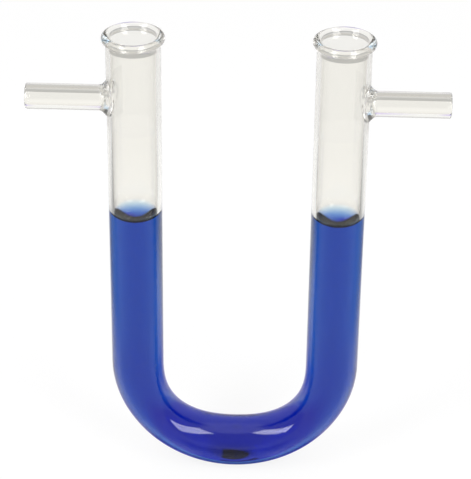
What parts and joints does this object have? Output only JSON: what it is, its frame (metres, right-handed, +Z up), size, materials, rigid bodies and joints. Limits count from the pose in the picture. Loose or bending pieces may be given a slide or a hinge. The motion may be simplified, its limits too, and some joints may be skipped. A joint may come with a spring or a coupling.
{
  "type": "glass u-form drying tube",
  "caption": "U-bent glass tube with rolled rims and a fused side arm on the outer side of each leg, partly filled with blue liquid.",
  "frame": {"origin": "under the middle of the bend, on the bend's lowest point, midway between the two side arms' tips", "axes": "+Z up along the legs, +X across from the left leg to the right leg, +Y away from the viewer"},
  "size_m": [0.1234, 0.0184, 0.15],
  "materials": {
    "clear_glass": "clear borosilicate glass, flame-worked and fire-polished",
    "blue_liquid": "clear deep blue liquid with a wet, level surface"
  },
  "bodies": {
    "root": {"glass_tube": "clear_glass", "blue_liquid": "blue_liquid"}
  },
  "joints": []
}
